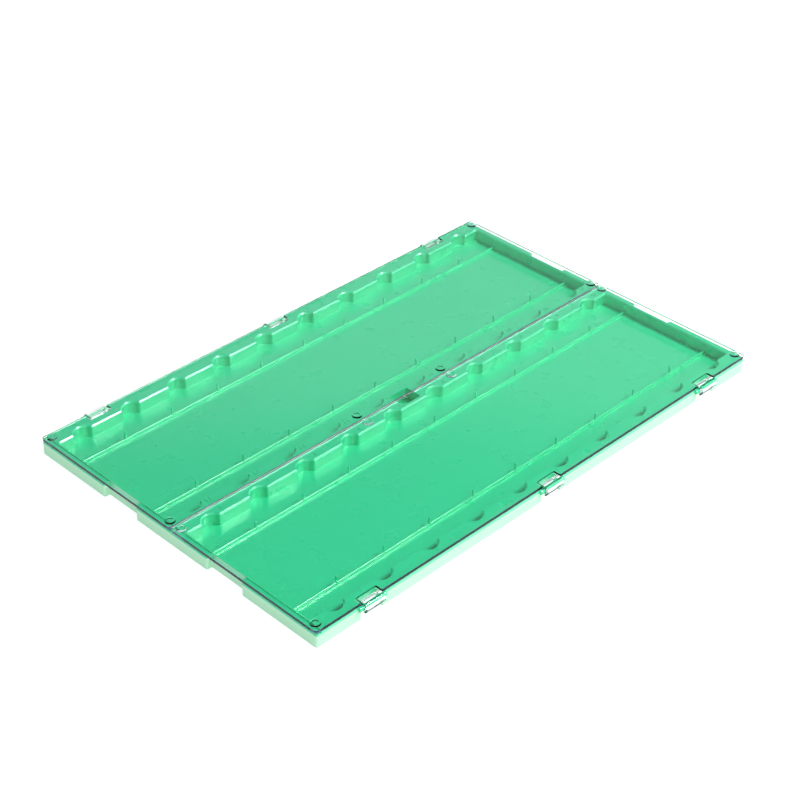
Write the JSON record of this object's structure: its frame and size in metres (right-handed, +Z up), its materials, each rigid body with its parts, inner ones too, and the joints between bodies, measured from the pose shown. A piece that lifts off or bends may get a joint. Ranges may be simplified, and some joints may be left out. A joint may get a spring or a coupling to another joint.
{
  "type": "microscope slide tray",
  "caption": "Flat slide tray with two rows of slide places, finger notches and two clear lids that hinge outwards on the long edges.",
  "frame": {"origin": "on the table surface, under the middle of the tray", "axes": "+X along the rows, +Y from the front row to the rear row, +Z up"},
  "size_m": [0.2872, 0.191, 0.0101],
  "materials": {
    "tray_green": "injection-moulded opaque green plastic, satin gloss",
    "lid_clear": "clear polystyrene, polished"
  },
  "bodies": {
    "tray": {"floor_panel": "tray_green", "front_wall": "tray_green", "rear_wall": "tray_green", "left_end_wall": "tray_green", "right_end_wall": "tray_green", "centre_rib": "tray_green", "centre_pocket": "tray_green", "front_wall_stops": "tray_green", "rear_wall_stops": "tray_green", "front_rib_stops": "tray_green", "rear_rib_stops": "tray_green", "front_outer_rail": "tray_green", "front_inner_rail": "tray_green", "rear_inner_rail": "tray_green", "rear_outer_rail": "tray_green", "front_row_pins": "tray_green", "rear_row_pins": "tray_green", "front_hinge_bars": "tray_green", "rear_hinge_bars": "tray_green"},
    "front_lid": {"front_lid_panel": "lid_clear", "front_lid_knuckles": "lid_clear", "front_lid_studs": "lid_clear"},
    "rear_lid": {"rear_lid_panel": "lid_clear", "rear_lid_knuckles": "lid_clear", "rear_lid_studs": "lid_clear"}
  },
  "joints": [
    {"name": "front_lid_hinge", "type": "hinge", "parent": "tray", "child": "front_lid", "pos_m": [0, -0.0928, 0.0061], "axis": [1, 0, 0], "range_deg": [0, 180]},
    {"name": "rear_lid_hinge", "type": "hinge", "parent": "tray", "child": "rear_lid", "pos_m": [0, 0.0928, 0.0061], "axis": [-1, 0, 0], "range_deg": [0, 180]}
  ]
}
